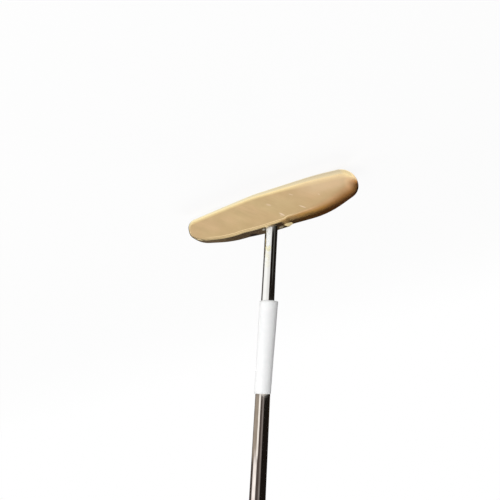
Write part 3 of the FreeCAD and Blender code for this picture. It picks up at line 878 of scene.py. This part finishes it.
# %% [markdown]
# ## The studio
# Metal shows its surroundings, so a metal object is lit by what stands round it. A picture of a
# room could stand in for them, but then each reflection would be where the room happens to have
# it. Here it is a tent: an open paper tube round the shaft, seen only in reflections, with pale
# and dark cards on it. The shaft is a mirror tube and the tent is a larger tube round the same
# line, so each card gives one stripe. Below and above the tent the world takes over.

# %% Build the tent
TENT_RADIUS, TENT_LOW, TENT_HIGH = 0.447, -0.60, 1.0
TENT_RINGS, TENT_SIDES = 41, 72


def only_mirrored(thing):
    """Leaves a thing out of everything but reflections."""
    thing.visible_camera = False
    thing.visible_diffuse = False
    thing.visible_transmission = False
    thing.visible_shadow = False


points = []
for j in range(TENT_RINGS):
    height = TENT_LOW + (TENT_HIGH - TENT_LOW) * j / (TENT_RINGS - 1)
    points += [on_shaft(height, 360.0 * i / TENT_SIDES, TENT_RADIUS) for i in range(TENT_SIDES)]
tent = build("light_tent", points, grid_faces(TENT_RINGS, TENT_SIDES, closed=True))
only_mirrored(tent)
print("tent points:", len(points))

# %% [markdown]
# A real card would be pinned to the paper. Here it is a mask with four soft sides, given as
# heights in metres and as angles in degrees from the front, so any card can be moved by changing
# one number.

# %% A card on the tent
card, given, out = start_group(
    "tent_card",
    [("Height", NUMBER, 0.0), ("Angle", NUMBER, 0.0), ("Low", NUMBER, 0.0), ("High", NUMBER, 1.0),
     ("From", NUMBER, 0.0), ("To", NUMBER, 10.0), ("Soft height", NUMBER, 0.02),
     ("Soft angle", NUMBER, 4.0)],
    [("Mask", NUMBER)],
)
sides = []
for value, edge, soft, rising in (
    ("Height", "Low", "Soft height", 1), ("Height", "High", "Soft height", -1),
    ("Angle", "From", "Soft angle", 1), ("Angle", "To", "Soft angle", -1),
):
    past = calc(card, "DIVIDE", calc(card, "SUBTRACT", given[value], given[edge]), given[soft])
    sides.append(fade(card, times(card, past, rising), -0.5, 0.5))
card.links.new(times(card, *sides), out["Mask"])
print("group:", card.name)

# %% [markdown]
# The cards themselves were set one after another for the stripes in the shaft and for the crown and
# the roll of the head. Later ones lie over earlier ones.

# %% The cards
CARDS = [
    # low, high, from, to, soft height, soft angle, colour
    (-0.115, 0.118, -27, 89, 0.02, 8, (1.00, 1.00, 0.98)),
    (-0.115, 0.000, 18, 89, 0.02, 36, (1.24, 1.25, 1.23)),
    (-1.00, -0.115, -60, 120, 0.04, 20, (0.85, 0.83, 0.78)),
    (-1.00, -0.150, -130, -60, 0.04, 20, (0.42, 0.29, 0.17)),
    (-1.00, -0.24, -200, 200, 0.08, 6, (1.14, 1.11, 1.04)),
    (-0.62, -0.24, -70, 12, 0.08, 15, (0.98, 0.90, 0.82)),
    (-0.115, 0.05, 92, 145, 0.02, 6, (0.13, 0.12, 0.11)),
    (-0.115, -0.04, -88, -68, 0.04, 6, (0.11, 0.11, 0.10)),
    (0.00, 0.165, -200, -140, 0.02, 10, (0.055, 0.032, 0.016)),
    (0.00, 0.20, 145, 168, 0.02, 10, (0.125, 0.10, 0.08)),
    (0.00, 0.20, 168, 200, 0.02, 10, (0.085, 0.065, 0.055)),
    (0.118, 0.29, -30, 140, 0.01, 8, (0.10, 0.075, 0.065)),
    (0.118, 0.205, 42, 125, 0.02, 8, (0.44, 0.37, 0.30)),
    (0.118, 0.20, 14, 41, 0.01, 6, (1.24, 1.17, 1.08)),
    (0.20, 0.29, 24, 80, 0.03, 12, (1.28, 1.18, 1.12)),
    (0.118, 0.29, -38, -15, 0.01, 8, (0.28, 0.24, 0.22)),
    (0.50, 1.20, 60, 110, 0.12, 12, (0.90, 0.88, 0.85)),
    (0.30, 1.20, 104, 132, 0.06, 8, (1.00, 0.99, 0.97)),
    (0.42, 1.20, 150, 205, 0.12, 15, (0.72, 0.71, 0.69)),
    (0.42, 1.20, -205, -165, 0.12, 15, (0.72, 0.71, 0.69)),
]
BARE_TENT = (0.012, 0.009, 0.007)
print("cards:", len(CARDS))

# %% [markdown]
# The rolled toe needs more than even cards, because it mirrors a wide part of the tent and gets
# darker steadily while it turns away. So some of the cards are swept: their grey follows the angle
# round the shaft, from light in front to nearly black behind the toe.

# %% Swept cards
TOE_SWEEP = [
    # angle, red, green, blue
    (-170, 0.072, 0.068, 0.060), (-140, 0.095, 0.090, 0.081), (-120, 0.125, 0.119, 0.108),
    (-105, 0.178, 0.168, 0.152), (-90, 0.250, 0.238, 0.215), (-75, 0.375, 0.360, 0.325),
    (-60, 0.590, 0.565, 0.515), (-45, 0.830, 0.790, 0.725), (-30, 1.000, 0.945, 0.870),
    (-15, 1.000, 0.930, 0.860), (0, 0.860, 0.810, 0.760), (40, 0.760, 0.720, 0.670),
]
SWEPT = [
    # low, high, from, to, soft height, soft angle
    (0.0, 0.115, -140, -10, 0.02, 6),
    (0.29, 1.20, -165, 35, 0.03, 20),
]


def sweep(tree, value, stops):
    """A colour that follows a value, from a list of (value, red, green, blue)."""
    first, last = stops[0][0], stops[-1][0]
    sockets = {"Value": value, "From Min": first, "From Max": last}
    share = put(tree, "ShaderNodeMapRange", sockets).outputs[0]
    ramp = put(tree, "ShaderNodeValToRGB", {"Fac": share})
    points = ramp.color_ramp.elements
    while len(points) < len(stops):
        points.new(0.5)
    for point, (at, *shade) in zip(points, stops):
        point.position = (at - first) / (last - first)
    for point, (at, *shade) in zip(points, stops):
        point.color = (*shade, 1.0)
    return ramp.outputs["Color"]


print("stops of the sweep:", len(TOE_SWEEP))

# %% [markdown]
# The tent's paint glows by itself and takes no light, so a card is as bright as it is written. It
# is kept from being sampled as a lamp, because it lights nothing but reflections.

# %% Paint that glows
def start_glow(name):
    """A material without a shader yet, its tree, and where a point lies round the shaft."""
    paint = bpy.data.materials.new(name)
    paint.use_nodes = True
    paint.cycles.emission_sampling = "NONE"
    tree = paint.node_tree
    tree.nodes.clear()
    place = put(tree, "ShaderNodeTexCoord").outputs["Object"]
    return paint, tree, use(tree, along_shaft, Place=place)


def end_glow(tree, colour):
    """Makes the tree glow with a colour."""
    glow = put(tree, "ShaderNodeEmission", {"Color": colour, "Strength": 1.0})
    put(tree, "ShaderNodeOutputMaterial", {"Surface": glow.outputs[0]})


print("paint can be started")

# %% [markdown]
# The cards go on the tent in one long chain. Each one is blended over all the earlier ones by its
# own mask, and the swept ones come last.

# %% Paint the tent
def card_mask(tree, shaft_place, low, high, left, right, soft_height, soft_angle):
    """The mask of one card on the tent."""
    return use(tree, card, Height=shaft_place["Height"], Angle=shaft_place["Angle"],
               Low=low, High=high, From=left, To=right,
               Soft_height=soft_height, Soft_angle=soft_angle)["Mask"]


paint, tree, shaft_place = start_glow("tent_paint")
colour = BARE_TENT
for *edges, shade in CARDS:
    colour = blend(tree, card_mask(tree, shaft_place, *edges), colour, shade)
darkening = sweep(tree, shaft_place["Angle"], TOE_SWEEP)
for edges in SWEPT:
    colour = blend(tree, card_mask(tree, shaft_place, *edges), colour, darkening)
end_glow(tree, colour)
tent.data.materials.append(paint)
print("painted:", tent.name)

# %% [markdown]
# The tent alone can't light the rolled toe as it should, because the same part of it shows as a
# dark line in the shaft. A curved card goes nearer to the head, level with the label. The shaft
# can't show it there, because the label covers that part of it. The card has the same sweep as the
# tent, from light in front to nearly black round the toe.

# %% The near card
NEAR_RADIUS, NEAR_LOW, NEAR_HIGH = 0.20, 0.030, 0.118
NEAR_FROM, NEAR_TO, NEAR_STEPS = -148, 30, 60
points = [on_shaft(height, NEAR_FROM + (NEAR_TO - NEAR_FROM) * i / NEAR_STEPS, NEAR_RADIUS)
          for height in (NEAR_LOW, NEAR_HIGH) for i in range(NEAR_STEPS + 1)]
near_card = build("near_card", points, grid_faces(2, NEAR_STEPS + 1))
only_mirrored(near_card)
paint, tree, shaft_place = start_glow("near_card_paint")
end_glow(tree, sweep(tree, shaft_place["Angle"], TOE_SWEEP))
near_card.data.materials.append(paint)
print("near card points:", len(points))

# %% [markdown]
# ## World, floor and lamps
# The photograph's background is plain white. The world could simply be white too, but then it
# would wash out the metal. So it is white where the camera sees it and a quieter grey where it
# lights the object. In reflections it has a pale ground, a dark wall and a warm ceiling.

# %% The world
world = bpy.data.worlds.new("white_room")
scene.world = world
world.use_nodes = True
tree = world.node_tree
tree.nodes.clear()
ray = put(tree, "ShaderNodeLightPath").outputs
direction = split(tree, put(tree, "ShaderNodeTexCoord").outputs["Generated"])
heel_ground, toe_ground = (0.98, 0.97, 0.93), (0.86, 0.85, 0.81)
front_ground, wall, ceiling = (1.10, 1.07, 1.00), (0.03, 0.022, 0.016), (0.62, 0.56, 0.48)
ground = blend(tree, fade(tree, direction["X"], 0.2, -0.1), heel_ground, toe_ground)
ground = blend(tree, fade(tree, direction["Y"], -0.5, 0.3), front_ground, ground)
mirrored = blend(tree, fade(tree, direction["Z"], -0.2, 0.15), ground, wall)
mirrored = blend(tree, fade(tree, direction["Z"], 0.75, 0.92), mirrored, ceiling)
lit = blend(tree, ray["Is Glossy Ray"], grey(0.28), mirrored)
shown = blend(tree, ray["Is Camera Ray"], lit, grey(1.0))
sky = put(tree, "ShaderNodeBackground", {"Color": shown, "Strength": 1.0})
put(tree, "ShaderNodeOutputWorld", {"Surface": sky.outputs[0]})
print("world:", world.name)

# %% [markdown]
# The floor is a wide round sheet just under the sole. A plane would do as well, but a round sheet
# ends at the same distance on every side, so no corner of it shows from any view.

# %% The floor
FLOOR_RADIUS, FLOOR_CORNERS, FLOOR_HEIGHT = 3.0, 96, -0.05 * MM
points = [Vector((0.0, 0.0, FLOOR_HEIGHT))]
for i in range(FLOOR_CORNERS):
    turn = 2 * math.pi * i / FLOOR_CORNERS
    points.append(points[0] + Vector((math.cos(turn), math.sin(turn), 0.0)) * FLOOR_RADIUS)
floor = build("studio_floor", points,
              [(0, i + 1, (i + 1) % FLOOR_CORNERS + 1) for i in range(FLOOR_CORNERS)])
floor.visible_glossy = False
print("floor corners:", FLOOR_CORNERS)

# %% [markdown]
# A plain white floor would look grey at its far end, and a shadeless one would lose the putter's
# shadow. So this one shows its own white to the camera with a part of the real shading mixed in,
# less and less of it further out.

# %% Paint the floor
floor_paint = bpy.data.materials.new("floor_paint")
floor_paint.use_nodes = True
tree = floor_paint.node_tree
tree.nodes.clear()
seen = put(tree, "ShaderNodeLightPath").outputs["Is Camera Ray"]
shaded = put(tree, "ShaderNodeBsdfDiffuse", {"Color": grey(0.95)})
white = put(tree, "ShaderNodeEmission", {"Color": grey(1.0), "Strength": 1.0})
place = put(tree, "ShaderNodeTexCoord").outputs["Object"]
from_putter = vector_calc(tree, "LENGTH", place, result="Value")
share = times(tree, seen, fade(tree, from_putter, 0.2, 1.4, low=0.88, high=1.0))
mixed = put(tree, "ShaderNodeMixShader", {0: share, 1: shaded.outputs[0], 2: white.outputs[0]})
put(tree, "ShaderNodeOutputMaterial", {"Surface": mixed.outputs[0]})
floor.data.materials.append(floor_paint)
print("painted:", floor.name)

# %% [markdown]
# The lamps are for what isn't a mirror: the paper, the rubber, the dried polish and the floor.
# They are large and soft, as studio lamps behind cloth are, and stay out of reflections, where the
# tent's cards do their work.

# %% Lamps
LAMP_AIM, LAMP_DISTANCE, LAMP_WIDTH = Vector((0.03, 0.0, 0.12)), 1.6, 0.9
LAMPS = [
    # name, azimuth from the front towards the heel side, elevation, watts
    ("heel_side_lamp", 65, 25, 4.8),
    ("front_lamp", 15, 30, 16.3),
    ("back_lamp", 175, 35, 10.0),
]
for name, azimuth, elevation, watts in LAMPS:
    a, e = math.radians(azimuth), math.radians(elevation)
    away = Vector((math.sin(a) * math.cos(e), -math.cos(a) * math.cos(e), math.sin(e)))
    lamp = bpy.data.objects.new(name, bpy.data.lights.new(name, "AREA"))
    lamp.data.size = LAMP_WIDTH
    lamp.data.energy = watts
    lamp.location = LAMP_AIM + away * LAMP_DISTANCE
    lamp.rotation_euler = away.to_track_quat("Z", "Y").to_euler()
    lamp.visible_glossy = False
    scene.collection.objects.link(lamp)
print("lamps:", len(LAMPS))
